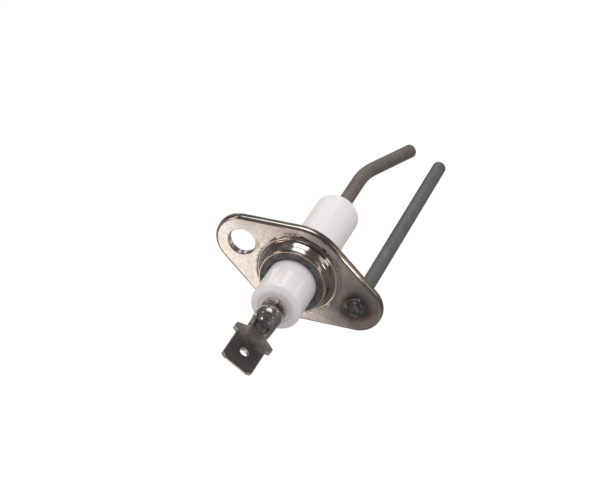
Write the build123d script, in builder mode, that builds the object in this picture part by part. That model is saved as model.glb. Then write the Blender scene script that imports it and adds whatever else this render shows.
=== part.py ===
# Boiler ignition electrode: a spark rod in a ceramic insulator, clamped in a two-lobed flange
# that also carries the straight ground rod.
#
# Frame, in millimetres: the origin is the centre of the flange's seating face, on the axis of
# the insulator. +Y points into the burner, towards the rod tips. +X points from the insulator
# to the ground rod. +Z points up. The blade terminal is on the -Y side, outside the burner.

from build123d import *

import os
from math import cos, radians, sin

os.makedirs("parts", exist_ok=True)

# Flange plate: three circles joined by straight tangents.
plate_thickness = 1.3
centre_radius = 9.85
end_radius = 5.25
screw_hole_x = -11.7
screw_hole_diameter = 5.1
ground_rod_x = 12.0
front_edge_roll = 0.6
hole_edge_roll = 0.2

# Collar drawn out of the plate towards the terminal. It tapers outside. Inside, a step between
# the wide throat and the narrow mouth holds the insulator's shoulder.
collar_root_radius = 7.3
collar_rim_radius = 6.5
collar_rim_y = -4.3
collar_throat_radius = 6.4
collar_mouth_radius = 5.9
collar_root_fillet = 0.6
collar_rim_fillet = 0.25
collar_throat_fillet = 0.5

# Insulator: stepped ceramic tube with a wide shoulder inside the collar.
outer_end_radius = 4.7
burner_end_radius = 4.35
shoulder_radius = 6.35
outer_end_y = -13.4
burner_end_y = 21.0
outer_chamfer_radial = 1.1
outer_chamfer_axial = 0.7
burner_end_edge = 0.35
shoulder_front_y = -2.9
shoulder_rear_y = -1.7
bore_radius = 1.7
bore_exit_radius = 1.4
bore_exit_length = 4.0

# Packing rings and the ring that holds the insulator from behind.
front_ring_proud = 0.35
front_ring_overhang = 0.35
rear_packing_thickness = 0.4
rear_ring_thickness = 0.8
ring_clearance = 0.05
ring_edge_step = 0.1

# Rods.
rod_diameter = 2.7
rod_tip_y = 52.8
rod_tip_edge = 0.3
bend_start_y = 34.2
bend_radius = 18.9
bend_angle = 19.3
ball_radius = 2.3
ball_y = -16.3
rivet_radius = 2.25
rivet_height = 0.6
rivet_edge_height = 0.15
rivet_dimple_radius = 0.9
rivet_dimple_depth = 0.2
rivet_shoulder_radius = 1.75
rivet_shoulder_drop = 0.16

# Split washer on the spark rod, between the insulator and the ball.
washer_radius = 2.4
washer_front_y = -14.2
washer_slit = 0.35
washer_slit_angle = 8

# Blade terminal: 6.3 x 0.8 tab, shoulders, neck and the saddle under the ball.
sheet = 0.8
blade_width = 6.3
blade_end_y = -29.85
blade_step_y = -22.15
blade_corner_across = 1.0
blade_corner_along = 0.7
blade_face_edge = 0.12
shoulder_width = 8.0
shoulder_step_y = -21.8
shoulder_top_y = -20.6
neck_width = 3.8
neck_y = -19.5
blade_hole_diameter = 1.8
blade_hole_y = -25.9
blade_depth = 1.6
blade_twist = 10.4
saddle_width = 4.9
saddle_wall = 0.6
saddle_end_y = -15.6
saddle_top = -0.5
saddle_bend = 0.9
wing_slope = 1.6

rod_radius = rod_diameter / 2
plate_front_y = -plate_thickness
rear_packing_y = shoulder_rear_y + rear_packing_thickness
rear_ring_y = rear_packing_y + rear_ring_thickness
bore_exit_y = burner_end_y - bore_exit_length


# The flange is a plate with a screw hole at one end and the ground rod's hole at the other. The
# collar in the middle stands out towards the terminal.
with BuildPart() as mounting_flange:
    with BuildSketch(Plane.XZ):
        Circle(centre_radius)
        with Locations((screw_hole_x, 0), (ground_rod_x, 0)):
            Circle(end_radius)
        make_hull()
        Circle(collar_root_radius, mode=Mode.SUBTRACT)
        with Locations((ground_rod_x, 0)):
            Circle(rod_radius, mode=Mode.SUBTRACT)
        with Locations((screw_hole_x, 0)):
            Circle(screw_hole_diameter / 2, mode=Mode.SUBTRACT)
    extrude(amount=plate_thickness)
    front_face = mounting_flange.faces().sort_by(Axis.Y)[0]
    screw_hole_edge = front_face.inner_wires().sort_by(Axis.X)[0].edges()
    fillet(front_face.outer_wire().edges(), front_edge_roll)
    fillet(screw_hole_edge, hole_edge_roll)
    with BuildSketch(Plane.XY) as collar_section:
        with BuildLine():
            Polyline(
                (collar_throat_radius, 0),
                (collar_throat_radius, shoulder_front_y),
                (collar_mouth_radius, shoulder_front_y),
                (collar_mouth_radius, collar_rim_y),
                (collar_rim_radius, collar_rim_y),
                (collar_root_radius, plate_front_y),
                (collar_root_radius + collar_root_fillet, plate_front_y),
                (collar_root_radius + collar_root_fillet, 0),
                close=True,
            )
        make_face()
        corners = collar_section.vertices()
        throat_corner = (collar_throat_radius, 0, 0)
        fillet(corners.sort_by_distance(throat_corner)[0], collar_throat_fillet)
        rim_corner = (collar_rim_radius, collar_rim_y, 0)
        fillet(corners.sort_by_distance(rim_corner)[0], collar_rim_fillet)
        root_corner = (collar_root_radius, plate_front_y, 0)
        fillet(corners.sort_by_distance(root_corner)[0], 0.95 * collar_root_fillet)
    revolve(axis=Axis.Y)
mounting_flange.part.label = "mounting_flange"
export_step(mounting_flange.part, "parts/mounting_flange.step")


# The insulator is one turned ceramic tube: narrow in the burner, wider outside, with a shoulder
# that the two packing rings grip.
with BuildPart() as ceramic_insulator:
    with BuildSketch(Plane.XY) as ceramic_section:
        with BuildLine():
            Polyline(
                (bore_radius, outer_end_y),
                (outer_end_radius - outer_chamfer_radial, outer_end_y),
                (outer_end_radius, outer_end_y + outer_chamfer_axial),
                (outer_end_radius, shoulder_front_y),
                (shoulder_radius, shoulder_front_y),
                (shoulder_radius, shoulder_rear_y),
                (burner_end_radius, shoulder_rear_y),
                (burner_end_radius, burner_end_y),
                (bore_exit_radius, burner_end_y),
                (bore_exit_radius, bore_exit_y),
                (bore_radius, bore_exit_y),
                close=True,
            )
        make_face()
        rim = ceramic_section.vertices().sort_by_distance((burner_end_radius, burner_end_y, 0))[0]
        fillet(rim, burner_end_edge)
        chamfer_ends = ceramic_section.vertices().sort_by_distance(
            (outer_end_radius, outer_end_y, 0)
        )[0:2]
        fillet(chamfer_ends, burner_end_edge)
    revolve(axis=Axis.Y)
ceramic_insulator.part.label = "ceramic_insulator"
export_step(ceramic_insulator.part, "parts/ceramic_insulator.step")


# The front packing ring fills the collar's mouth, and bulges out over the rim.
bulge_radius = collar_mouth_radius + front_ring_overhang
with BuildPart() as front_packing_ring:
    with BuildSketch(Plane.XY):
        with BuildLine():
            inner = outer_end_radius + ring_clearance
            Polyline(
                (bulge_radius, collar_rim_y),
                (collar_mouth_radius - ring_clearance, collar_rim_y),
                (collar_mouth_radius - ring_clearance, shoulder_front_y),
                (inner, shoulder_front_y),
                (inner, collar_rim_y - ring_edge_step),
            )
            ThreePointArc(
                (inner, collar_rim_y - ring_edge_step),
                ((inner + bulge_radius) / 2, collar_rim_y - front_ring_proud),
                (bulge_radius, collar_rim_y),
            )
        make_face()
    revolve(axis=Axis.Y)
front_packing_ring.part.label = "front_packing_ring"
export_step(front_packing_ring.part, "parts/front_packing_ring.step")


# The rear packing ring is a thin flat gasket behind the shoulder.
with BuildPart() as rear_packing_ring:
    with BuildSketch(Plane.XZ.offset(-rear_packing_y)):
        Circle(collar_throat_radius - ring_clearance)
        Circle(burner_end_radius + ring_clearance, mode=Mode.SUBTRACT)
    extrude(amount=rear_packing_thickness)
rear_packing_ring.part.label = "rear_packing_ring"
export_step(rear_packing_ring.part, "parts/rear_packing_ring.step")


# The rear retaining ring is pressed into the collar's throat and holds the stack together.
with BuildPart() as rear_retaining_ring:
    with BuildSketch(Plane.XZ.offset(-rear_ring_y)):
        Circle(collar_throat_radius)
        Circle(burner_end_radius + 4 * ring_clearance, mode=Mode.SUBTRACT)
    extrude(amount=rear_ring_thickness)
rear_retaining_ring.part.label = "rear_retaining_ring"
export_step(rear_retaining_ring.part, "parts/rear_retaining_ring.step")


# The spark rod runs through the insulator and bends towards the ground rod, to the same height.
# Its outer end is melted into a ball.
arc_end_x = bend_radius * (1 - cos(radians(bend_angle)))
arc_end_y = bend_start_y + bend_radius * sin(radians(bend_angle))
tip_length = (rod_tip_y - arc_end_y) / cos(radians(bend_angle))
with BuildPart() as spark_electrode_rod:
    with BuildLine(Plane.XY):
        straight = Line((0, ball_y), (0, bend_start_y))
        bend = JernArc(straight @ 1, straight % 1, bend_radius, -bend_angle)
        Line(bend @ 1, bend @ 1 + (bend % 1) * tip_length)
    with BuildSketch(Plane.XZ.offset(-ball_y)):
        Circle(rod_radius)
    sweep()
    fillet(spark_electrode_rod.faces().sort_by(Axis.Y)[-1].edges(), rod_tip_edge)
    with Locations((0, ball_y, 0)):
        Sphere(ball_radius)
spark_electrode_rod.part.label = "spark_electrode_rod"
export_step(spark_electrode_rod.part, "parts/spark_electrode_rod.step")


# The ground rod goes through the plate. On the terminal side its end is upset into a domed head
# with a dimple.
head_y = plate_front_y - rivet_height
with BuildPart() as ground_electrode_rod:
    with BuildSketch(Plane.XZ.offset(-rod_tip_y)):
        with Locations((ground_rod_x, 0)):
            Circle(rod_radius)
    extrude(amount=rod_tip_y - plate_front_y)
    fillet(ground_electrode_rod.faces().sort_by(Axis.Y)[-1].edges(), rod_tip_edge)
    with BuildSketch(Plane.XY):
        with BuildLine():
            Polyline(
                (ground_rod_x, head_y + rivet_dimple_depth),
                (ground_rod_x, plate_front_y),
                (ground_rod_x + rivet_radius, plate_front_y),
                (ground_rod_x + rivet_radius, plate_front_y - rivet_edge_height),
            )
            dome = ThreePointArc(
                (ground_rod_x + rivet_radius, plate_front_y - rivet_edge_height),
                (ground_rod_x + rivet_shoulder_radius, head_y + rivet_shoulder_drop),
                (ground_rod_x + rivet_dimple_radius, head_y),
            )
            Line(dome @ 1, (ground_rod_x, head_y + rivet_dimple_depth))
        make_face()
    revolve(axis=Axis((ground_rod_x, 0, 0), (0, 1, 0)))
ground_electrode_rod.part.label = "ground_electrode_rod"
export_step(ground_electrode_rod.part, "parts/ground_electrode_rod.step")


# Refractory cement fills the bore round the spark rod.
with BuildPart() as bore_cement:
    with BuildSketch(Plane.XZ.offset(-bore_exit_y)):
        Circle(bore_radius)
        Circle(rod_radius, mode=Mode.SUBTRACT)
    extrude(amount=bore_exit_y - outer_end_y)
bore_cement.part.label = "bore_cement"
export_step(bore_cement.part, "parts/bore_cement.step")


# The split washer stops the rod from sliding through the insulator.
with BuildPart() as split_washer:
    with BuildSketch(Plane.XZ.offset(-outer_end_y)):
        Circle(washer_radius)
        Circle(rod_radius, mode=Mode.SUBTRACT)
        with Locations(Rotation(0, 0, -washer_slit_angle)):
            with Locations((0, washer_radius)):
                Rectangle(washer_slit, 2 * washer_radius, mode=Mode.SUBTRACT)
    extrude(amount=outer_end_y - washer_front_y)
    with Locations((0, ball_y, 0)):
        Sphere(ball_radius, mode=Mode.SUBTRACT)
split_washer.part.label = "split_washer"
export_step(split_washer.part, "parts/split_washer.step")


# The terminal is stamped from sheet. Its plane is turned a little about the rod's axis and lies
# below it. The blade, shoulders and neck are flat, and the neck's edges fold up into the two
# wings of a saddle that carries the ball.
across = (cos(radians(blade_twist)), 0, -sin(radians(blade_twist)))
up = (sin(radians(blade_twist)), 0, cos(radians(blade_twist)))
terminal_plane = Plane(origin=(0, 0, 0), x_dir=across, z_dir=up)
floor_top = -blade_depth
floor_bottom = -blade_depth - sheet
wing_height = saddle_top - floor_bottom

with BuildPart() as saddle:
    with BuildSketch(Plane(origin=(0, saddle_end_y, 0), x_dir=across, z_dir=(0, -1, 0))):
        with Locations((0, floor_bottom + wing_height)):
            RectangleRounded(saddle_width, 2 * wing_height, saddle_bend)
        with Locations((0, floor_top + wing_height)):
            RectangleRounded(
                saddle_width - 2 * saddle_wall,
                2 * wing_height,
                saddle_bend - saddle_wall,
                mode=Mode.SUBTRACT,
            )
    extrude(amount=saddle_end_y - neck_y)
    with BuildSketch(Plane(origin=(0, 0, 0), x_dir=(0, 1, 0), z_dir=across)) as wing_side:
        with BuildLine():
            Polyline(
                (neck_y + wing_slope, saddle_top),
                (saddle_end_y - wing_slope / 2, saddle_top),
                (saddle_end_y, saddle_top - wing_slope / 2),
                (saddle_end_y, floor_bottom),
                (neck_y, floor_bottom),
                (neck_y, floor_top - sheet / 2),
            )
            Spline(
                (neck_y, floor_top - sheet / 2),
                (neck_y + wing_slope, saddle_top),
                tangents=((1, 0), (1, 0)),
            )
        make_face()
    extrude(amount=saddle_width, both=True, mode=Mode.INTERSECT)

with BuildPart() as blade_terminal:
    with BuildSketch(terminal_plane.offset(floor_bottom)):
        with BuildLine():
            Polyline(
                (0, blade_end_y),
                (blade_width / 2 - blade_corner_across, blade_end_y),
                (blade_width / 2, blade_end_y + blade_corner_along),
                (blade_width / 2, blade_step_y),
                (shoulder_width / 2, shoulder_step_y),
                (shoulder_width / 2, shoulder_top_y),
                (neck_width / 2, neck_y),
                (0, neck_y),
            )
            mirror(about=Plane.YZ)
        make_face()
        with Locations((0, blade_hole_y)):
            Circle(blade_hole_diameter / 2, mode=Mode.SUBTRACT)
    extrude(amount=sheet)
    blade_end_face = blade_terminal.faces().sort_by(Axis.Y)[0]
    chamfer(blade_end_face.edges().filter_by(GeomType.LINE).group_by(Edge.length)[-1], blade_face_edge)
    add(saddle.part)
    with Locations((0, ball_y, 0)):
        Sphere(ball_radius, mode=Mode.SUBTRACT)
blade_terminal.part.label = "blade_terminal"
export_step(blade_terminal.part, "parts/blade_terminal.step")
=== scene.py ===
# A boiler ignition electrode: a two-lobed flange with a ceramic insulator, a bent spark rod, a
# straight ground rod and a blade terminal. Lengths are in millimetres until a mesh is made.

from math import acos, atan2, ceil, cos, exp, hypot, pi, radians, sin, tan

import bmesh
import bpy
import numpy as np
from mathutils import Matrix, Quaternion, Vector, noise
from mathutils.geometry import delaunay_2d_cdt


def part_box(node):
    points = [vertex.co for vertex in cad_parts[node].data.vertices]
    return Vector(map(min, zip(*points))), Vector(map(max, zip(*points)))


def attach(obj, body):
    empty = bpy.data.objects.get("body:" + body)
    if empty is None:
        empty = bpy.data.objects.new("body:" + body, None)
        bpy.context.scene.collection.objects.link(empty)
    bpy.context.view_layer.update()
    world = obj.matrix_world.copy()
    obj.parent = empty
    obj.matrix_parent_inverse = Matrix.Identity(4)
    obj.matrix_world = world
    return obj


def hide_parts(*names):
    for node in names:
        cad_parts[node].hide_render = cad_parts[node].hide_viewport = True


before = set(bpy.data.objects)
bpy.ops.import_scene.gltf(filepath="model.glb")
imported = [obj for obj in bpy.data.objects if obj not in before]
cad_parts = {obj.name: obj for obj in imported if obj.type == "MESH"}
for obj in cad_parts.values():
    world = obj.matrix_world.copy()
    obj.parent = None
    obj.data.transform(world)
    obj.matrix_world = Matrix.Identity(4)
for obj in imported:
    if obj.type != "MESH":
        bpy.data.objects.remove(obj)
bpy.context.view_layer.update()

MM = 0.001


def box_mm(node):
    """The lowest and highest corners of a CAD node, in millimetres."""
    low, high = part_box(node)
    return low / MM, high / MM


# Sizes that come from the CAD nodes.
flange_low, flange_high = box_mm("mounting_flange")
ceramic_low, ceramic_high = box_mm("ceramic_insulator")
spark_low, spark_high = box_mm("spark_electrode_rod")
ground_low, ground_high = box_mm("ground_electrode_rod")
washer_low, washer_high = box_mm("split_washer")
terminal_low, terminal_high = box_mm("blade_terminal")

# Flange plate and collar.
plate_thickness = 1.3
end_radius = 5.25
centre_radius = flange_high.z
screw_hole_x = flange_low.x + end_radius
ground_rod_x = flange_high.x - end_radius
screw_hole_radius = 2.55
front_roll = 0.6
hole_roll = 0.2
collar_rim_y = -4.3
collar_foot_radius = 7.85
collar_root_radius = 7.3
collar_rim_radius = 6.38
collar_throat_radius = 6.4
collar_mouth_radius = 5.9

# The collar's outside between its root and its rim as (radius, y): an outer band that bellies
# out, a narrow groove, and an inner band.
outer_band_belly = (7.17, -2.0)
outer_band_end = (6.83, -2.85)
groove = (6.74, -2.95)
inner_band_belly = (6.46, -3.55)

# Insulator.
outer_end_radius = 4.7
burner_end_radius = 4.35
shoulder_radius = 6.35
shoulder_front_y = -2.9
shoulder_rear_y = -1.7
bore_radius = 1.7
bore_exit_radius = 1.4
bore_exit_length = 4.0

# Rods.
rod_radius = 1.35
rod_tip_y = ground_high.y
ball_radius = spark_high.z
ball_y = spark_low.y + ball_radius
bend_start_y = 34.2
bend_radius = 18.9
bend_angle = radians(19.3)
head_radius = (ground_high.x - ground_low.x) / 2

# Terminal. Its plane is turned about the rod's axis and lies below it.
terminal_twist = radians(10.4)
terminal_across = Vector((cos(terminal_twist), 0, -sin(terminal_twist)))
terminal_up = Vector((sin(terminal_twist), 0, cos(terminal_twist)))
terminal_depth = 1.6
sheet_thickness = 0.8
blade_half_width = 3.15
blade_step_y = -22.2
step_half_width = 4.0
neck_half_width = 1.9
wing_half_width = 2.8
locking_hole_y = -25.9
locking_hole_radius = 0.9


# ---------------------------------------------------------------------------------------------
# Mesh helpers
# ---------------------------------------------------------------------------------------------


def rounded(corners, radii, steps=6):
    """A closed line through the corners, each rounded to its own radius."""
    line = []
    for i, (corner, radius) in enumerate(zip(corners, radii)):
        corner = Vector(corner)
        if radius == 0:
            line.append(corner)
            continue
        back = (Vector(corners[i - 1]) - corner).normalized()
        ahead = (Vector(corners[(i + 1) % len(corners)]) - corner).normalized()
        half = back.angle(ahead) / 2
        centre = corner + (back + ahead).normalized() * radius / sin(half)
        start = (corner + back * radius / tan(half) - centre).normalized()
        end = (corner + ahead * radius / tan(half) - centre).normalized()
        line += [centre + start.slerp(end, k / steps) * radius for k in range(steps + 1)]
    return line


def divided(line, longest, closed=False):
    """The line with points added so that no run is longer than longest."""
    result = []
    ends = line[1:] + line[:1] if closed else line[1:]
    for start, end in zip(line, ends):
        count = max(1, ceil((end - start).length / longest - 1e-6))
        result += [start.lerp(end, k / count) for k in range(count)]
    if not closed:
        result.append(line[-1])
    return result


def bowed(line, longest):
    """A closed anticlockwise outline divided like that, its straight runs a hair convex.

    Delaunay triangles would be flat where three points of a rim lie exactly in line.
    """
    bow = 0.01
    result = []
    for start, end in zip(line, line[1:] + line[:1]):
        run = end - start
        count = max(1, ceil(run.length / longest - 1e-6))
        outwards = Vector((run.y, -run.x)).normalized()
        for k in range(count):
            share = k / count
            result.append(start + run * share + outwards * bow * 4 * share * (1 - share))
    return result


def circle(centre_x, radius, y, count):
    """A circle of points round a line parallel to Y."""
    return [
        Vector((centre_x + radius * cos(2 * pi * k / count), y, radius * sin(2 * pi * k / count)))
        for k in range(count)
    ]


def ripple(point, size, depth=1):
    """Smooth noise from about -1 to 1, with bumps about as wide as size."""
    return noise.fractal(point / size, 0.6, 2.0, depth)


def smooth_step(value, low, high):
    """0 below low, 1 above high, and an even slope without corners between them."""
    share = min(1, max(0, (value - low) / (high - low)))
    return share * share * (3 - 2 * share)


def inside_loops(places, loops):
    """Which of the (x, z) places lie inside the outer loop and outside its holes."""
    inside = np.zeros(len(places), bool)
    for loop in loops:
        for (start_x, start_z), (end_x, end_z) in zip(loop, np.roll(loop, -1, axis=0)):
            if start_z == end_z:
                continue
            crossed = (start_z > places[:, 1]) != (end_z > places[:, 1])
            slope = (end_x - start_x) / (end_z - start_z)
            inside ^= crossed & (places[:, 0] < start_x + (places[:, 1] - start_z) * slope)
    return inside


class Shell:
    """A closed mesh in the making: loops of points and the faces between them."""

    def __init__(self):
        self.points = []
        self.faces = []

    def loop(self, points):
        first = len(self.points)
        self.points += [Vector(point) for point in points]
        return list(range(first, len(self.points)))

    def skin(self, loops, closed=False):
        """Joins each loop to the next with four-sided faces, and the last to the first if closed."""
        for near, far in zip(loops, loops[1:] + (loops[:1] if closed else [])):
            for i in range(len(near)):
                j = (i + 1) % len(near)
                self.faces.append((near[i], near[j], far[j], far[i]))

    def cap(self, loop):
        """Closes a loop with a fan of triangles."""
        middle = sum((self.points[i] for i in loop), Vector()) / len(loop)
        tip = self.loop([middle])[0]
        self.faces += [(loop[i - 1], loop[i], tip) for i in range(len(loop))]

    def fill(self, loops, spacing):
        """Fills the flat region inside the first loop, less the others, with even triangles."""
        rims = [np.array([(self.points[i].x, self.points[i].z) for i in loop]) for loop in loops]
        rim = np.concatenate(rims)
        low, high = rim.min(axis=0), rim.max(axis=0)
        rows = np.arange(low[1], high[1], spacing * 0.866)
        columns = np.arange(low[0], high[0], spacing)
        grid = np.array([(x + spacing / 2 * (k % 2), z) for k, z in enumerate(rows) for x in columns])
        kept_clear = [r + (np.roll(r, -1, axis=0) - r) * k / 4 for r in rims for k in range(4)]
        kept_clear = np.concatenate(kept_clear)
        nearest = np.linalg.norm(grid[:, None] - kept_clear[None], axis=2).min(axis=1)
        grid = grid[inside_loops(grid, rims) & (nearest > spacing * 0.6)]
        edges = []
        first = 0
        for loop in loops:
            edges += [(first + i, first + (i + 1) % len(loop)) for i in range(len(loop))]
            first += len(loop)
        depth = self.points[loops[0][0]].y
        known = [i for loop in loops for i in loop]
        known += self.loop([(x, depth, z) for x, z in grid])
        places = [Vector((self.points[i].x, self.points[i].z)) for i in known]
        _, _, triangles, origins, _, _ = delaunay_2d_cdt(places, edges, [], 0, 1e-6)
        corners = [[known[origins[v][0]] for v in triangle] for triangle in triangles]
        centres = np.array([[places[v] for v in triangle] for triangle in triangles]).mean(axis=1)
        kept = inside_loops(centres, rims)
        self.faces += [corner for corner, keep in zip(corners, kept) if keep]

    def piece(self, name, cad_node, material, sharp=35):
        """Makes the object that stands for a CAD node, with edges over sharp degrees kept crisp."""
        mesh = bpy.data.meshes.new(name)
        mesh.from_pydata([point * MM for point in self.points], [], self.faces)
        work = bmesh.new()
        work.from_mesh(mesh)
        bmesh.ops.recalc_face_normals(work, faces=work.faces)
        work.to_mesh(mesh)
        work.free()
        mesh.shade_smooth()
        mesh.set_sharp_from_angle(angle=radians(sharp))
        mesh.materials.append(material)
        obj = bpy.data.objects.new(name, mesh)
        bpy.context.scene.collection.objects.link(obj)
        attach(obj, "root")
        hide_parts(cad_node)


# ---------------------------------------------------------------------------------------------
# Material helpers
# ---------------------------------------------------------------------------------------------


class Finish:
    """A procedural material in the making. Its textures follow the object in millimetres."""

    def __init__(self, name):
        self.material = bpy.data.materials.new(name)
        self.material.use_nodes = True
        self.tree = self.material.node_tree
        self.shader = self.tree.nodes["Principled BSDF"]
        coordinates = self.add("ShaderNodeTexCoord").outputs["Object"]
        scaled = self.add("ShaderNodeVectorMath", {0: coordinates, 3: 1 / MM}, operation="SCALE")
        self.place = scaled.outputs[0]

    def add(self, kind, inputs=None, **settings):
        node = self.tree.nodes.new(kind)
        for key, value in settings.items():
            setattr(node, key, value)
        for key, value in (inputs or {}).items():
            self.put(node.inputs[key], value)
        return node

    def put(self, socket, value):
        if isinstance(value, bpy.types.NodeSocket):
            self.tree.links.new(value, socket)
        else:
            socket.default_value = value

    def set(self, **values):
        """Sets the shader's own sockets, such as base_color or coat_roughness."""
        for key, value in values.items():
            socket = next(s for s in self.shader.inputs if s.name.lower().replace(" ", "_") == key)
            self.put(socket, value)

    def math(self, operation, first, second=0.5, third=0.5):
        inputs = {0: first, 1: second, 2: third}
        return self.add("ShaderNodeMath", inputs, operation=operation).outputs[0]

    def vector(self, operation, first, second=(0, 0, 0)):
        """A vector, or a plain number where the operation gives one."""
        node = self.add("ShaderNodeVectorMath", {0: first, 1: second}, operation=operation)
        gives_number = operation in ("LENGTH", "DISTANCE", "DOT_PRODUCT")
        return node.outputs["Value" if gives_number else "Vector"]

    def stretch(self, across, along, up):
        """The place with each direction scaled, for grain that runs one way."""
        return self.vector("MULTIPLY", self.place, (across, along, up))

    def noise(self, size, detail=3.0, roughness=0.55, place=None):
        """Noise from 0 to 1 with patches about as wide as size."""
        inputs = {
            "Vector": place or self.place,
            "Scale": 1 / size,
            "Detail": detail,
            "Roughness": roughness,
        }
        return self.add("ShaderNodeTexNoise", inputs).outputs[0]

    def remap(self, value, low, high, new_low=0.0, new_high=1.0):
        """Value mapped from low..high to new_low..new_high, held at the ends."""
        inputs = {0: value, 1: low, 2: high, 3: new_low, 4: new_high}
        return self.add("ShaderNodeMapRange", inputs).outputs[0]

    def mix(self, factor, first, second):
        """The first colour where the factor is 0, the second where it is 1."""
        inputs = {0: factor, 6: first, 7: second}
        return self.add("ShaderNodeMix", inputs, data_type="RGBA").outputs[2]

    def distance(self, centre):
        """Distance in millimetres from a point."""
        return self.vector("DISTANCE", self.place, centre)

    def axis(self, name):
        """One coordinate of the place, in millimetres."""
        return self.add("ShaderNodeSeparateXYZ", {0: self.place}).outputs[name]

    def bump(self, height, depth, normal=None):
        """A bump that is depth millimetres high where height goes from 0 to 1."""
        inputs = {"Height": height, "Strength": 1.0, "Distance": depth * MM}
        node = self.add("ShaderNodeBump", inputs)
        if normal:
            self.put(node.inputs["Normal"], normal)
        return node.outputs[0]


def grey(value):
    return (value, value, value, 1)


# ---------------------------------------------------------------------------------------------
# Materials
# ---------------------------------------------------------------------------------------------


def plated_steel():
    """Bright nickel plate on pressed steel, with heat tint round the ground rod's head.

    Two patches of painted shade, given as x, z, reach and depth, darken the plate above the collar and the
    hole, standing in for darker reflections there.
    """
    finish = Finish("plated_steel")
    patches = finish.noise(3.0, 4.0)
    mottle = finish.noise(0.7, 4.0, 0.7)
    bright = (0.66, 0.605, 0.57, 1)
    warm = (0.57, 0.50, 0.455, 1)
    tarnished = (0.40, 0.34, 0.30, 1)
    speck_brown = (0.15, 0.12, 0.10, 1)
    # Colour of the painted shade patches, which stand in for darker reflections on the plate.
    painted_shade_grey = (0.26, 0.23, 0.22, 1)
    heat_blue = (0.21, 0.215, 0.23, 1)
    heat_brown = (0.31, 0.22, 0.17, 1)
    scorched = (0.10, 0.075, 0.07, 1)
    colour = finish.mix(finish.remap(patches, 0.35, 0.7), bright, warm)
    colour = finish.mix(finish.remap(mottle, 0.48, 0.66, 0.0, 0.45), colour, tarnished)
    specks = finish.remap(finish.noise(0.45, 3.0, 0.75), 0.60, 0.70, 0.0, 0.5)
    colour = finish.mix(specks, colour, speck_brown)
    # Painted shade: two dark patches on the plate stand in for darker reflections, given as x, z, reach
    # and depth.
    painted_shade_patches = ((2.0, 8.9, 5.0, 0.75), (-13.2, 5.0, 3.2, 0.45))
    for shade_patch_x, shade_patch_z, reach, depth in painted_shade_patches:
        shade_patch_distance = finish.distance((shade_patch_x, -plate_thickness, shade_patch_z))
        shade_patch_distance = finish.math("ADD", shade_patch_distance, finish.remap(patches, 0.3, 0.7, -1.0, 1.0))
        shade_patch_amount = finish.remap(shade_patch_distance, reach, 0.6, 0.0, depth)
        colour = finish.mix(shade_patch_amount, colour, painted_shade_grey)
    distance = finish.distance((ground_rod_x, -plate_thickness, 0))
    heat = finish.math("ADD", distance, finish.remap(patches, 0.3, 0.7, -1.6, 1.6))
    clouds = finish.noise(2.4, 3.0, 0.5)
    tint = finish.mix(finish.remap(clouds, 0.42, 0.58), heat_blue, heat_brown)
    colour = finish.mix(finish.remap(heat, 7.0, 3.2, 0.0, 0.75), colour, tint)
    scorch = finish.math("ADD", distance, finish.remap(patches, 0.3, 0.7, -0.5, 0.5))
    colour = finish.mix(finish.remap(scorch, 3.6, 2.3, 0.0, 0.85), colour, scorched)
    roughness = finish.remap(finish.noise(0.9, 3.0), 0.3, 0.7, 0.10, 0.20)
    normal = finish.bump(finish.noise(0.32, 2.0), 0.002)
    normal = finish.bump(finish.noise(1.4, 2.0), 0.006, normal)
    finish.set(base_color=colour, metallic=1.0, roughness=roughness, normal=normal)
    return finish.material


def glazed_ceramic():
    """White alumina, glazed on its outer end and nearly bare on the burner's side."""
    finish = Finish("glazed_ceramic")
    dull_white = (0.78, 0.73, 0.73, 1)
    white = (0.83, 0.785, 0.785, 1)
    pit_brown = (0.45, 0.40, 0.36, 1)
    clouds = finish.noise(2.5, 3.0)
    colour = finish.mix(clouds, dull_white, white)
    pits = finish.remap(finish.noise(0.5, 2.0), 0.70, 0.76)
    colour = finish.mix(finish.math("MULTIPLY", pits, 0.25), colour, pit_brown)
    normal = finish.bump(finish.noise(0.9, 2.0), 0.012)
    finish.set(base_color=colour, roughness=0.5, normal=normal)
    glazed = finish.remap(finish.axis("Y"), shoulder_rear_y, shoulder_front_y, 0.2, 0.8)
    finish.set(coat_weight=glazed, coat_roughness=0.08, coat_ior=1.5)
    return finish.material


def graphite():
    """Compressed graphite packing, matt black, its fibres running round the ring."""
    finish = Finish("graphite_packing")
    flat = finish.stretch(1, 0, 1)
    spread = finish.math("MULTIPLY", finish.vector("LENGTH", flat), 1.1)
    rings = finish.add("ShaderNodeCombineXYZ", {1: spread}).outputs[0]
    round_place = finish.vector("ADD", finish.vector("NORMALIZE", flat), rings)
    fibre = finish.noise(0.3, 3.0, 0.6, round_place)
    grain = finish.noise(0.25, 4.0, 0.65)
    shade = finish.math("MULTIPLY_ADD", grain, 0.35, finish.math("MULTIPLY", fibre, 0.65))
    black = (0.026, 0.024, 0.024, 1)
    rubbed = (0.15, 0.141, 0.14, 1)
    colour = finish.mix(finish.remap(shade, 0.40, 0.60), black, rubbed)
    normal = finish.bump(shade, 0.07)
    roughness = finish.remap(shade, 0.3, 0.7, 0.75, 0.5)
    finish.set(base_color=colour, roughness=roughness, normal=normal)
    return finish.material


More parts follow.
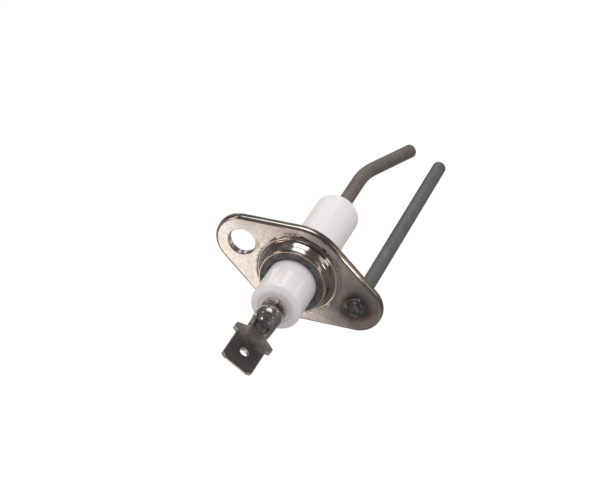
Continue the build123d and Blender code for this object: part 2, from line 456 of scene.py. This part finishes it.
def oxidised_wire(name, dark, light, roughness, melted_y, slag_light):
    """Heat-resistant wire under a thin oxide. Below melted_y it has run and set glossy and dark."""
    finish = Finish(name)
    streaks = finish.noise(0.5, 3.0, 0.6, finish.stretch(1, 0.08, 1))
    blotches = finish.noise(2.2, 4.0, 0.6)
    colour = finish.mix(finish.remap(blotches, 0.3, 0.7), dark, light)
    colour = finish.mix(finish.remap(streaks, 0.45, 0.75, 0.0, 0.35), colour, light)
    rough = finish.remap(blotches, 0.3, 0.7, roughness - 0.06, roughness + 0.08)
    melted = finish.remap(finish.axis("Y"), melted_y + 0.05, melted_y - 0.05)
    slag = finish.remap(finish.noise(1.0, 2.0, 0.5), 0.35, 0.65)
    skin = finish.mix(slag, grey(0.5 * slag_light), (slag_light, 0.94 * slag_light, 0.92 * slag_light, 1))
    colour = finish.mix(melted, colour, skin)
    rough = finish.add("ShaderNodeMix", {0: melted, 2: rough, 3: 0.11}, data_type="FLOAT").outputs[0]
    depth = finish.math("ADD", melted, 1.0)
    lumps = finish.math("MULTIPLY", finish.noise(0.6, 1.5, 0.5), depth)
    normal = finish.bump(lumps, 0.005)
    metal = finish.math("MULTIPLY_ADD", melted, 0.45, 0.40)
    finish.set(base_color=colour, metallic=metal, roughness=rough, normal=normal)
    return finish.material


def terminal_steel():
    """Dark satin sheet steel with rubbed edges, browned by the weld's heat towards the neck."""
    finish = Finish("terminal_steel")
    dark = (0.11, 0.10, 0.10, 1)
    satin = (0.16, 0.148, 0.148, 1)
    rubbed_grey = (0.20, 0.187, 0.187, 1)
    heat_tan = (0.62, 0.54, 0.505, 1)
    streak_brown = (0.34, 0.28, 0.25, 1)
    bare_edge = (0.72, 0.64, 0.59, 1)
    patches = finish.noise(1.6, 4.0, 0.6)
    colour = finish.mix(patches, dark, satin)
    from_middle = finish.distance((0, -25.4, -1.2))
    colour = finish.mix(finish.remap(from_middle, 1.5, 4.0), colour, rubbed_grey)
    heat = finish.math("ADD", finish.axis("Y"), finish.remap(patches, 0.3, 0.7, -0.9, 0.9))
    colour = finish.mix(finish.remap(heat, -23.5, -20.0, 0.0, 0.8), colour, heat_tan)
    streak = finish.remap(finish.noise(0.9, 3.0, 0.6, finish.stretch(1.6, 0.5, 1)), 0.62, 0.74)
    near_neck = finish.remap(finish.axis("Y"), -23.5, -21.0)
    streak = finish.math("MULTIPLY", streak, near_neck)
    colour = finish.mix(finish.math("MULTIPLY", streak, 0.5), colour, streak_brown)
    face = finish.add("ShaderNodeNewGeometry").outputs["True Normal"]
    flatness = finish.math("ABSOLUTE", finish.vector("DOT_PRODUCT", face, terminal_up))
    sheared = finish.remap(flatness, 0.93, 0.6, 0.0, 0.9)
    sheared = finish.math("MULTIPLY", sheared, finish.remap(finish.axis("Y"), -20.0, -20.6))
    colour = finish.mix(sheared, colour, bare_edge)
    grain = finish.noise(0.15, 3.0, 0.6, finish.stretch(1, 0.25, 1))
    normal = finish.bump(grain, 0.003)
    roughness = finish.remap(patches, 0.3, 0.7, 0.26, 0.34)
    finish.set(base_color=colour, metallic=0.95, roughness=roughness, normal=normal)
    return finish.material


def washer_steel():
    """Tarnished spring steel."""
    finish = Finish("washer_steel")
    tarnished = (0.36, 0.31, 0.29, 1)
    bare = (0.80, 0.73, 0.70, 1)
    patches = finish.noise(0.9, 4.0, 0.6)
    colour = finish.mix(finish.remap(patches, 0.35, 0.65), tarnished, bare)
    normal = finish.bump(finish.noise(0.2, 3.0), 0.012)
    finish.set(base_color=colour, metallic=0.85, roughness=0.42, normal=normal)
    return finish.material


def refractory_cement():
    """Pale grey cement."""
    finish = Finish("refractory_cement")
    grains = finish.noise(0.3, 4.0, 0.65)
    colour = finish.mix(grains, grey(0.34), (0.62, 0.60, 0.56, 1))
    normal = finish.bump(grains, 0.04)
    finish.set(base_color=colour, roughness=0.85, normal=normal)
    return finish.material


plated = plated_steel()
ceramic = glazed_ceramic()
packing = graphite()
spark_oxide = oxidised_wire(
    "oxidised_alloy", (0.15, 0.12, 0.11, 1), (0.22, 0.175, 0.16, 1), 0.50, ceramic_low.y - 0.6, 0.45
)
ground_oxide = oxidised_wire(
    "dark_alloy", (0.125, 0.12, 0.12, 1), (0.175, 0.167, 0.167, 1), 0.46, -plate_thickness + 0.1, 0.18
)
terminal = terminal_steel()
washer = washer_steel()
cement = refractory_cement()


# ---------------------------------------------------------------------------------------------
# Flange
# ---------------------------------------------------------------------------------------------

arc_step = radians(3)


def plate_outline(inset, y):
    """The plate's outline moved inwards: three arcs and their common tangents."""
    right = acos((centre_radius - end_radius) / ground_rod_x)
    left = acos((centre_radius - end_radius) / screw_hole_x)
    arcs = (
        (ground_rod_x, end_radius, -right, right),
        (0, centre_radius, right, left),
        (screw_hole_x, end_radius, left, 2 * pi - left),
        (0, centre_radius, 2 * pi - left, 2 * pi - right),
    )
    line = []
    for centre_x, radius, start, end in arcs:
        count = ceil((end - start) / arc_step)
        for k in range(count + 1):
            angle = start + (end - start) * k / count
            reach = radius - inset
            line.append(Vector((centre_x + reach * cos(angle), reach * sin(angle))))
    return [Vector((point.x, y, point.y)) for point in bowed(line, 0.6)]


def edge_section(roll, slant):
    """The plate's cut edge as (inset, y): rolled front corner, burnished band, rear corner."""
    front_y = -plate_thickness
    lip = slant + roll + 0.25
    corners = ((lip, front_y), (slant, front_y), (0.0, -0.2), (0.05, 0.0), (lip, 0.0))
    section = rounded(corners, (0, roll, 0.05, 0.05, 0), 8)
    section[0] = section[0].lerp(section[1], 0.8)
    section[-1] = section[-1].lerp(section[-2], 0.9)
    return divided(section, 0.2)


def pressed(point):
    """The plate isn't quite flat: it is drawn in round the collar and a little wavy."""
    dish_depth = 0.10
    dish_width = 1.6
    wave_height = 0.03
    depth = min(1, max(0, -point.y / plate_thickness))
    radius = hypot(point.x, point.z)
    dish = dish_depth * exp(-(((radius - collar_foot_radius) / dish_width) ** 2))
    wave = wave_height * ripple(point, 6)
    return point + Vector((0, depth * (wave - dish), 0))


def make_flange():
    shell = Shell()
    outer = [shell.loop(plate_outline(inset, y)) for inset, y in edge_section(front_roll, 0.1)]
    hole = [
        shell.loop(circle(screw_hole_x, screw_hole_radius + inset, y, 96))
        for inset, y in edge_section(hole_roll, 0.04)
    ]
    rod_hole = [shell.loop(circle(ground_rod_x, rod_radius, y, 32)) for y in (-plate_thickness, 0)]
    corners = (
        (collar_foot_radius, -plate_thickness),
        (collar_root_radius, -plate_thickness),
        outer_band_belly,
        outer_band_end,
        groove,
        inner_band_belly,
        (collar_rim_radius, collar_rim_y),
        (collar_mouth_radius, collar_rim_y),
        (collar_mouth_radius, shoulder_front_y),
        (collar_throat_radius, shoulder_front_y),
        (collar_throat_radius, 0),
        (collar_throat_radius + 0.55, 0),
    )
    radii = (0, 0.4, 5.0, 0.1, 0.1, 0.6, 0.12, 0.1, 0.05, 0.05, 0.5, 0)
    section = rounded(corners, radii, 10)
    collar = []
    around = 240
    wall_unevenness = 0.015
    for radius, y in divided(section, 0.3):
        ring = circle(0, radius, y, around)
        for point in ring:
            angle = atan2(point.z, point.x)
            streak = noise.noise(Vector((9 * cos(angle), 0.12 * y, 9 * sin(angle))))
            wall = smooth_step(radius, collar_throat_radius, collar_root_radius)
            outwards = Vector((point.x, 0, point.z)).normalized()
            point += outwards * wall * (wall_unevenness * (streak + ripple(point, 2.5)))
        collar.append(shell.loop(ring))
    for loops in (outer, hole, rod_hole, collar):
        shell.skin(loops)
    shell.fill([outer[0], hole[0], rod_hole[0], collar[0]], 0.5)
    shell.fill([outer[-1], hole[-1], rod_hole[-1], collar[-1]], 0.7)
    shell.points = [pressed(point) if abs(point.y) <= plate_thickness else point for point in shell.points]
    shell.piece("flange", "mounting_flange", plated)


# ---------------------------------------------------------------------------------------------
# Turned pieces: insulator and packing ring
# ---------------------------------------------------------------------------------------------


def make_ring(name, section, count, shape, cad_node, material, sharp=35):
    """Turns a closed (radius, y) section about the insulator's axis and moves its points by shape."""
    shell = Shell()
    shell.skin([shell.loop(circle(0, radius, y, count)) for radius, y in section], closed=True)
    shell.points = [shape(point) for point in shell.points]
    shell.piece(name, cad_node, material, sharp)


def cast_ceramic(point):
    """Fired ceramic is very slightly out of round and uneven."""
    outwards = Vector((point.x, 0, point.z)).normalized()
    return point + outwards * 0.03 * ripple(point, 5)


def make_insulator():
    recess_radius = 2.9
    recess_y = ceramic_low.y + 0.1
    chamfer_width = 0.95
    chamfer_length = 0.7
    exit_y = ceramic_high.y - bore_exit_length
    corners = (
        (bore_radius, recess_y),
        (recess_radius, recess_y),
        (recess_radius + 0.2, ceramic_low.y),
        (outer_end_radius - chamfer_width, ceramic_low.y),
        (outer_end_radius, ceramic_low.y + chamfer_length),
        (outer_end_radius, shoulder_front_y),
        (shoulder_radius, shoulder_front_y),
        (shoulder_radius, shoulder_rear_y),
        (burner_end_radius, shoulder_rear_y),
        (burner_end_radius, ceramic_high.y),
        (bore_exit_radius, ceramic_high.y),
        (bore_exit_radius, exit_y),
        (bore_radius, exit_y),
    )
    radii = (0.05, 0.2, 0.15, 0.6, 0.6, 0.3, 0.2, 0.2, 0.3, 0.4, 0.15, 0, 0)
    section = divided(rounded(corners, radii, 8), 0.8, closed=True)
    make_ring("insulator", section, 160, cast_ceramic, "ceramic_insulator", ceramic)


def squeezed_fibre(point):
    """Packing that bulges unevenly over the rim, with a torn fibrous face."""
    face = smooth_step(-point.y, -collar_rim_y, -collar_rim_y + 0.15)
    angle = atan2(point.z, point.x)
    radius = hypot(point.x, point.z)
    along = Vector((2.2 * cos(angle), 2.2 * sin(angle), 5 * radius))
    tear = 0.06 * noise.noise(along) + 0.05 * ripple(point, 0.35, 2)
    return point + Vector((0, face * tear, 0))


def make_packing():
    gap = 0.04
    overhang = 0.30
    bulge = 0.30
    inner = outer_end_radius + gap
    outer = collar_mouth_radius + overhang
    corners = (
        (inner, collar_rim_y + 0.05),
        (inner + 0.4, collar_rim_y - bulge),
        (outer - 0.25, collar_rim_y - bulge + 0.04),
        (outer, collar_rim_y - 0.01),
        (collar_mouth_radius - 0.05, collar_rim_y - 0.01),
        (collar_mouth_radius - 0.05, shoulder_front_y - 0.02),
        (inner, shoulder_front_y - 0.02),
    )
    section = rounded(corners, (0.1, 0.25, 0.2, 0.02, 0.02, 0.1, 0.1), 6)
    section = divided(section, 0.12, closed=True)
    make_ring("packing", section, 360, squeezed_fibre, "front_packing_ring", packing, 60)


# ---------------------------------------------------------------------------------------------
# Spark rod with its weld bead
# ---------------------------------------------------------------------------------------------

bead_fade_y = ball_y + 1.2
bead_end_y = ball_y + 2.4
bead_swell = 0.06
bead_unevenness = 0.03
foot_radius = 2.05
foot_run = 0.6
foot_unevenness = 0.12

# The crater's depth and rim height are in millimetres, and the rest is on a ball of radius 1.
crater_way = Vector((0.35, -0.53, 0.77)).normalized()
crater_radius = 0.13
crater_depth = 0.16
crater_rim_radius = 0.24
crater_rim_width = 0.08
crater_rim_height = 0.05


def bead_shape(point):
    """The melted end: a ball with a crater, whose foot has run out over the terminal's neck."""
    place = point - Vector((0, ball_y, 0))
    size = place.length
    if size < 1e-6:
        return point
    way = place / size
    share = 1 - smooth_step(point.y, bead_fade_y, bead_end_y)
    crater = (way - crater_way).length
    lift = bead_swell + bead_unevenness * ripple(point, 1.6)
    lift -= crater_depth * exp(-((crater / crater_radius) ** 2))
    lift += crater_rim_height * exp(-(((crater - crater_rim_radius) / crater_rim_width) ** 2))
    place += way * lift * share
    height = place.dot(terminal_up)
    side = place.dot(terminal_across)
    length = place.y
    down = smooth_step(-height, 0.75, 1.35) * share
    turn = atan2(side, -length)
    foot = foot_radius + foot_run * max(0, cos(turn)) ** 2 + foot_unevenness * sin(3 * turn + 0.6)
    spread = hypot(side, length)
    if spread > 1e-6:
        wide = ball_radius * 0.72
        target = foot * min(1, spread / wide)
        grown = spread + down * (target - spread)
        side *= grown / spread
        length *= grown / spread
    height = max(height, -terminal_depth - 0.12)
    return Vector((0, ball_y + length, 0)) + terminal_across * side + terminal_up * height


def make_spark_rod():
    """A round bar swept along a straight run, a bend and a straight run."""
    arc_length = bend_radius * bend_angle
    arc_end = Vector(
        (bend_radius * (1 - cos(bend_angle)), bend_start_y + bend_radius * sin(bend_angle), 0)
    )
    tip_length = (rod_tip_y - arc_end.y) / cos(bend_angle)
    total = bend_start_y + arc_length + tip_length

    def station(distance):
        """The centre and direction at a distance from the flange's seating face."""
        if distance < bend_start_y:
            return Vector((0, distance, 0)), 0
        if distance < bend_start_y + arc_length:
            turn = (distance - bend_start_y) / bend_radius
            x = bend_radius * (1 - cos(turn))
            return Vector((x, bend_start_y + bend_radius * sin(turn), 0)), turn
        ahead = Vector((sin(bend_angle), cos(bend_angle), 0))
        return arc_end + ahead * (distance - bend_start_y - arc_length), bend_angle

    around = 96
    bead_steps = 44
    tip_steps = 6
    tip_round = 0.35
    neck = acos(rod_radius / ball_radius)
    rings = []
    for k in range(1, bead_steps + 1):
        turn = (pi / 2 + neck) * k / bead_steps
        rings.append((ball_y - ball_radius * cos(turn), ball_radius * sin(turn)))
    start = rings[-1][0] + 0.15
    count = 60
    for k in range(count + 1):
        rings.append((start + (total - tip_round - start) * k / count, rod_radius))
    for k in range(1, tip_steps + 1):
        turn = pi / 2 * k / tip_steps
        rings.append((total - tip_round * (1 - sin(turn)), rod_radius - tip_round * (1 - cos(turn))))

    shell = Shell()
    loops = []
    for distance, radius in rings:
        centre, turn = station(distance)
        across = Vector((cos(turn), -sin(turn), 0))
        ring = []
        for k in range(around):
            angle = 2 * pi * k / around
            ring.append(centre + (across * cos(angle) + Vector((0, 0, sin(angle)))) * radius)
        loops.append(shell.loop(ring))
    shell.skin(loops)
    shell.cap(loops[0])
    shell.cap(loops[-1])
    shell.points = [bead_shape(p) if p.y < bead_end_y else p for p in shell.points]
    shell.piece("spark_rod", "spark_electrode_rod", spark_oxide, 50)


# ---------------------------------------------------------------------------------------------
# Ground rod with its upset head
# ---------------------------------------------------------------------------------------------


def head_height(radius):
    """The head stands on the plate like a melted coin, with a raised ring round a dimple."""
    coin_height = 0.38
    ring_height = 0.24
    dimple_depth = 0.22
    coin = coin_height * smooth_step(head_radius - radius, 0.02, 0.32)
    ring = ring_height * (1 - smooth_step(radius, 1.36, 1.54))
    dimple = dimple_depth * (1 - smooth_step(radius, 0.96, 1.12))
    return coin + ring - dimple


def upset_head(point):
    """The melted head is uneven, and leans a little towards the insulator."""
    rise = -plate_thickness - point.y
    if rise <= 0:
        return point
    lean = Vector((-0.3 * rise, 0, 0.05 * rise))
    return point + lean + Vector((0, 0.06 * smooth_step(rise, 0, 0.3) * ripple(point, 1.1), 0))


def make_ground_rod():
    corners = ((0.02, rod_tip_y), (rod_radius, rod_tip_y), (rod_radius, -plate_thickness))
    section = divided(rounded(corners, (0, 0.3, 0), 6), 2.0)
    rows = 90
    for k in range(rows + 1):
        radius = head_radius * (1 - k / rows) + 0.02
        section.append(Vector((radius, -plate_thickness - 0.02 - head_height(radius))))
    shell = Shell()
    loops = [shell.loop(circle(ground_rod_x, radius, y, 96)) for radius, y in section]
    shell.skin(loops)
    shell.cap(loops[0])
    shell.cap(loops[-1])
    shell.points = [upset_head(point) for point in shell.points]
    shell.piece("ground_rod", "ground_electrode_rod", ground_oxide, 40)


# ---------------------------------------------------------------------------------------------
# Split washer
# ---------------------------------------------------------------------------------------------


def make_washer():
    """A ring bent from square wire, its two ends facing each other across a slit."""
    inner = rod_radius + 0.03
    outer = washer_high.x
    corners = (
        (inner, washer_low.y),
        (outer, washer_low.y),
        (outer, washer_high.y),
        (inner, washer_high.y),
    )
    section = divided(rounded(corners, (0.1,) * 4, 4), 0.15, closed=True)
    middle = 1.9
    slit_width = 0.38
    slit_angle = pi / 2 - radians(8)
    half_slit = slit_width / 2 / outer
    step_at_slit = 0.06
    end_shrink = 0.05
    end_rows = 4
    count = 150
    shell = Shell()
    loops = []
    for k in range(count + 1):
        angle = slit_angle + half_slit + (2 * pi - 2 * half_slit) * k / count
        offset = -step_at_slit * (1 - k / count)
        shrink = end_shrink * (smooth_step(k, end_rows, 0) + smooth_step(k, count - end_rows, count))
        ring = []
        for radius, y in section:
            reach = radius - shrink * (radius - middle)
            ring.append((reach * cos(angle), y + offset, reach * sin(angle)))
        loops.append(shell.loop(ring))
    shell.skin(loops)
    shell.cap(loops[0])
    shell.cap(loops[-1])
    shell.points = [p + Vector((0, 0.02 * ripple(p, 0.8), 0)) for p in shell.points]
    shell.piece("washer", "split_washer", washer, 50)


# ---------------------------------------------------------------------------------------------
# Blade terminal
# ---------------------------------------------------------------------------------------------


def blank_outline():
    """The flat blank as (across, along) points, before its wings are folded up."""
    end_y = terminal_low.y
    neck_start_y = -19.45
    neck_end_y = -18.6
    wing_start_y = -17.5
    wing_end_y = -16.3
    half = (
        (blade_half_width - 1.0, end_y),
        (blade_half_width, end_y + 0.7),
        (blade_half_width, blade_step_y),
        (step_half_width, blade_step_y + 0.4),
        (step_half_width, blade_step_y + 1.6),
        (neck_half_width, neck_start_y),
        (neck_half_width + 0.05, neck_end_y),
        (wing_half_width - 0.05, wing_start_y),
        (wing_half_width, wing_end_y),
        (wing_half_width - 0.8, terminal_high.y),
    )
    radii = (0.2, 0.2, 0.1, 0.12, 0.25, 0.3, 0.3, 0.4, 0.4, 0.3)
    mirrored = [(-x, y) for x, y in reversed(half)]
    return bowed(rounded(list(half) + mirrored, radii + radii[::-1], 4), 0.3)


def inset_line(line, inset):
    """A closed line moved inwards, for a line that runs anticlockwise."""
    moved = []
    for i, point in enumerate(line):
        ahead = (line[(i + 1) % len(line)] - line[i - 1]).normalized()
        moved.append(point + Vector((-ahead.y, ahead.x)) * inset)
    return moved


def fold(point):
    """Takes a point of the blank to its place: wings folded up, plane turned and lowered.

    The wing away from the ground rod stands a little more open than the other.
    """
    across, depth, along = point.x, point.y, point.z
    height = -depth
    fold_line = 0.95
    fold_start_y = -19.3
    fold_end_y = -18.5
    inner_radius = 0.45
    folded = smooth_step(along, fold_start_y, fold_end_y)
    side = 1 if across > 0 else -1
    full_turn = radians(88 if side > 0 else 72)
    reach = abs(across)
    turn_end = fold_line + inner_radius * full_turn * folded
    if reach > fold_line and folded > 0:
        angle = (min(reach, turn_end) - fold_line) / inner_radius
        beyond = max(0, reach - turn_end)
        arm = inner_radius - height
        reach = fold_line + arm * sin(angle) + beyond * cos(angle)
        height = inner_radius - arm * cos(angle) + beyond * sin(angle)
    place = terminal_across * side * reach + terminal_up * (height - terminal_depth)
    return Vector((0, along, 0)) + place


def make_terminal():
    """The sheet's sheared edge is rolled, then smooth to half its depth, then torn."""
    outline = blank_outline()
    roll = 0.07
    smooth_depth = 0.45
    section = [(roll + 0.03, 0)]
    for k in range(4):
        turn = pi / 2 * k / 3
        section.append((roll * (1 - sin(turn)), roll * (1 - cos(turn))))
    section += [(0, smooth_depth), (0.015, 0.5), (0.01, 0.76), (0.04, sheet_thickness)]
    shell = Shell()
    outer = [
        shell.loop((p.x, depth, p.y) for p in inset_line(outline, inset)) for inset, depth in section
    ]
    hole = []
    for inset, depth in section:
        ring = circle(0, locking_hole_radius + inset * 0.6, depth, 48)
        hole.append(shell.loop(point + Vector((0, 0, locking_hole_y)) for point in ring))
    shell.skin(outer)
    shell.skin(hole)
    shell.fill([outer[0], hole[0]], 0.35)
    shell.fill([outer[-1], hole[-1]], 0.35)
    end_y = terminal_low.y
    lead_length = 0.6
    for point in shell.points:
        lead = max(0, 1 - (point.z - end_y) / lead_length)
        point.y += (sheet_thickness / 2 - point.y) * 0.5 * lead * lead
    shell.points = [fold(point) for point in shell.points]
    shell.piece("terminal", "blade_terminal", terminal, 40)


# ---------------------------------------------------------------------------------------------
# Camera, light and floor
# ---------------------------------------------------------------------------------------------


def aim(obj, position, target, roll=0.0):
    """Puts an object at a position, in metres, and points it at a target."""
    way = Vector(target) - Vector(position)
    obj.location = position
    obj.rotation_mode = "QUATERNION"
    obj.rotation_quaternion = way.to_track_quat("-Z", "Y") @ Quaternion((0, 0, 1), roll)


def make_camera():
    """The photo's view, fitted to the outlines of the flange, insulator, rods and blade."""
    camera = bpy.data.objects.new("camera", bpy.data.cameras.new("camera"))
    bpy.context.scene.collection.objects.link(camera)
    camera.data.sensor_width = 36
    camera.data.lens = 132.1
    aim(camera, (0.01692, -0.31803, 0.24374), (-0.00270, 0.00200, 0.00450), radians(28.25))
    bpy.context.scene.camera = camera


def glowing(name, points, faces, hidden_rays):
    """A glowing object of the studio, with its points in metres.

    Returns the object, its material's node tree and the emission node in it.
    """
    mesh = bpy.data.meshes.new(name)
    mesh.from_pydata(points, [], faces)
    material = bpy.data.materials.new(name)
    material.use_nodes = True
    tree = material.node_tree
    tree.nodes.remove(tree.nodes["Principled BSDF"])
    glow = tree.nodes.new("ShaderNodeEmission")
    tree.links.new(glow.outputs[0], tree.nodes["Material Output"].inputs["Surface"])
    mesh.materials.append(material)
    obj = bpy.data.objects.new(name, mesh)
    bpy.context.scene.collection.objects.link(obj)
    for ray in hidden_rays:
        setattr(obj, "visible_" + ray, False)
    return obj, tree, glow


def turned(section, count):
    """The points, in metres, and faces of a (radius, height) line turned about the Z axis."""
    shell = Shell()
    loops = [
        shell.loop((p.x, p.z, height) for p in circle(0, radius, 0, count))
        for radius, height in section
    ]
    shell.skin(loops)
    shell.cap(loops[0])
    shell.cap(loops[-1])
    return [point * MM for point in shell.points], shell.faces


def gradient(tree, direction):
    """A value that rises across the object along a direction, by its length for each metre."""
    node = tree.nodes.new("ShaderNodeVectorMath")
    node.operation = "DOT_PRODUCT"
    tree.links.new(tree.nodes.new("ShaderNodeTexCoord").outputs["Object"], node.inputs[0])
    node.inputs[1].default_value = direction
    return node.outputs["Value"]


def make_cove():
    """A seamless white cove: floor, rounded corner, wall and ceiling in one turned surface."""
    radius = 1500
    floor_z = -100
    corner_radius = 400
    corners = ((1, floor_z), (radius, floor_z), (radius, radius), (1, radius))
    points, faces = turned(rounded(corners, (0, corner_radius, corner_radius, 0), 12), 96)
    cove, _, glow = glowing("cove", points, faces, ("diffuse", "glossy", "transmission", "shadow"))
    glow.inputs["Color"].default_value = (1, 0.995, 0.995, 1)
    glow.inputs["Strength"].default_value = 1.02


def make_fill():
    """The soft light on matt surfaces: a dome, brightest behind, above and on the hole's side."""
    radius = 1000
    rows = 24
    section = []
    for k in range(1, rows):
        turn = pi * k / rows
        section.append((radius * sin(turn), -radius * cos(turn)))
    points, faces = turned(section, 48)
    hidden = ("camera", "glossy", "transmission", "shadow")
    dome, tree, glow = glowing("fill_dome", points, faces, hidden)
    brighter_way = (-0.22, 0.24, 0.24)
    middle_level = 0.885
    level = tree.nodes.new("ShaderNodeMath")
    level.operation = "ADD"
    tree.links.new(gradient(tree, brighter_way), level.inputs[0])
    level.inputs[1].default_value = middle_level
    glow.inputs["Color"].default_value = (1, 0.985, 0.985, 1)
    tree.links.new(level.outputs[0], glow.inputs["Strength"])


def make_reflections():
    """What the metal and the glaze reflect: soft lamps and dark corners of a studio.

    A lamp is a direction, the half angles in degrees where its light starts to fade and has
    gone, a tint and a strength. A later lamp covers an earlier one where they overlap.
    """
    warm = (1.0, 0.84, 0.72)
    white = (1, 1, 1)
    lamps = (
        ((0.0, 1.0, 0.0), 30, 60, white, 0.22),
        ((-0.25, 0.80, 0.55), 3, 8, white, 2.0),
        ((0.42, 0.80, 0.43), 2, 6, white, 1.6),
        ((-0.57, 0.79, 0.22), 4, 9, white, 1.5),
        ((0.55, 0.32, 0.77), 7, 14, warm, 1.1),
        ((-0.42, 0.27, 0.87), 14, 22, white, 3.2),
        ((-0.64, -0.77, -0.06), 6, 11, warm, 3.6),
        ((-0.88, -0.14, 0.45), 4, 10, warm, 1.5),
        ((0.72, -0.62, -0.30), 10, 42, white, 0.40),
        ((-0.60, -0.45, -0.66), 10, 36, white, 0.32),
        ((0.30, 0.50, -0.81), 10, 45, white, 0.42),
    )
    world = bpy.data.worlds.new("studio")
    world.use_nodes = True
    tree = world.node_tree
    background = tree.nodes["Background"]
    way = tree.nodes.new("ShaderNodeTexCoord").outputs["Generated"]
    colour = None
    for direction, inner, outer, tint, strength in lamps:
        unit = Vector(direction).normalized()
        dot = tree.nodes.new("ShaderNodeVectorMath")
        dot.operation = "DOT_PRODUCT"
        tree.links.new(way, dot.inputs[0])
        dot.inputs[1].default_value = unit
        edge = tree.nodes.new("ShaderNodeMapRange")
        edge.interpolation_type = "SMOOTHSTEP"
        tree.links.new(dot.outputs["Value"], edge.inputs["Value"])
        edge.inputs["From Min"].default_value = cos(radians(outer))
        edge.inputs["From Max"].default_value = cos(radians(inner))
        mix = tree.nodes.new("ShaderNodeMix")
        mix.data_type = "RGBA"
        tree.links.new(edge.outputs["Result"], mix.inputs[0])
        if colour is None:
            mix.inputs[6].default_value = (0.15, 0.14, 0.14, 1)
        else:
            tree.links.new(colour, mix.inputs[6])
        mix.inputs[7].default_value = (*(strength * channel for channel in tint), 1)
        colour = mix.outputs[2]
    tree.links.new(colour, background.inputs["Color"])
    bpy.context.scene.world = world
    world.cycles_visibility.diffuse = False


def make_card(name, left, right, bottom, top):
    """A flat card that only reflections see, in metres about its own origin."""
    corners = [(left, bottom, 0), (right, bottom, 0), (right, top, 0), (left, top, 0)]
    return glowing(name, corners, [(0, 1, 2, 3)], ("camera", "diffuse", "shadow"))


def make_front_card():
    """A card low in front of the flange: its face reflects the lit side and the dark side."""
    way = Vector((-0.04, -0.80, -0.60))
    distance = 0.08
    lit = (1.64, 1.545, 1.48, 1)
    dark = (0.30, 0.28, 0.275, 1)
    card, tree, glow = make_card("front_card", -0.032, 0.032, -0.026, 0.014)
    ramp = tree.nodes.new("ShaderNodeMapRange")
    ramp.interpolation_type = "SMOOTHSTEP"
    tree.links.new(gradient(tree, (0.70, 0.71, 0)), ramp.inputs["Value"])
    ramp.inputs["From Min"].default_value = -0.0150
    ramp.inputs["From Max"].default_value = 0.0105
    mix = tree.nodes.new("ShaderNodeMix")
    mix.data_type = "RGBA"
    tree.links.new(ramp.outputs["Result"], mix.inputs[0])
    mix.inputs[6].default_value = lit
    mix.inputs[7].default_value = dark
    tree.links.new(mix.outputs[2], glow.inputs["Color"])
    aim(card, way * distance, (0, 0, 0))


def make_glint_card():
    """A small bright card over the ground rod's head, for the glints on its rings."""
    half = 0.003
    card, _, glow = make_card("glint_card", -half, half, -half, half)
    glow.inputs["Color"].default_value = (1.0, 0.88, 0.78, 1)
    glow.inputs["Strength"].default_value = 3.2
    aim(card, (0.0128, -0.0064, 0.0133), (ground_rod_x * MM, -plate_thickness * MM, 0))


make_camera()
make_cove()
make_fill()
make_reflections()
make_front_card()
make_glint_card()
bpy.context.scene.view_settings.view_transform = "Standard"
make_flange()
make_insulator()
make_packing()
make_spark_rod()
make_ground_rod()
make_washer()
make_terminal()
for node, material in (
    ("rear_retaining_ring", plated),
    ("rear_packing_ring", packing),
    ("bore_cement", cement),
):
    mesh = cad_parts[node].data
    mesh.materials.clear()
    mesh.materials.append(material)
